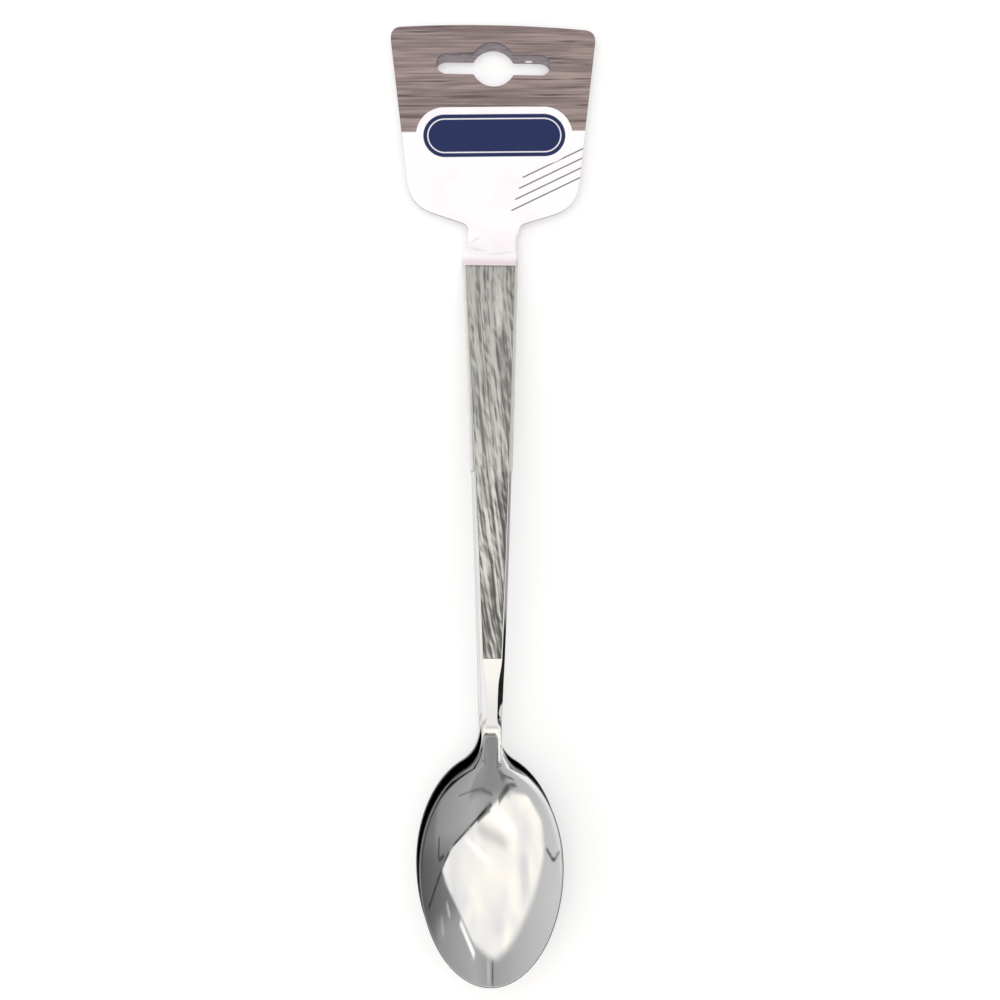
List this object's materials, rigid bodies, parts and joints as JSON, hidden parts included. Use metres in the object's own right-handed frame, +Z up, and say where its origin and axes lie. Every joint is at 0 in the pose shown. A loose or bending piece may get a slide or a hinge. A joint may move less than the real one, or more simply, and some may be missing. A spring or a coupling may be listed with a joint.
{
  "type": "tablespoon hang pack",
  "caption": "Nested tablespoons in polished steel with coined grain handle panels, held in a clear film sleeve with a hinged header and hanging slot.",
  "frame": {"origin": "bottom centre of the whole pack's outer box, on the surface that it lies on", "axes": "+X across the spoons, +Y along them from the bowl tips to the header, +Z up out of the bowls"},
  "size_m": [0.0594, 0.2742, 0.0164],
  "materials": {
    "polished_steel": "mirror polished stainless steel, satin grey coined grain on the handle panel",
    "clear_film": "clear glossy shrink film, printed white on the collar",
    "printed_ply": "thin sheet, wood grain print over a white field, semi-gloss",
    "plain_ply": "thin unprinted sheet, grey white, semi-gloss"
  },
  "bodies": {
    "spoons": {"tablespoon_front": "polished_steel", "tablespoon_rear": "polished_steel", "film_sleeve": "clear_film"},
    "header": {"header_front_ply": "printed_ply", "header_back_ply": "plain_ply"}
  },
  "joints": [
    {"name": "header_flex", "type": "hinge", "parent": "spoons", "child": "header", "pos_m": [0, 0.07581, 0.00291], "axis": [1, 0, 0], "range_deg": [-75, 75], "stiffness_Nm_per_rad": 0.03}
  ]
}
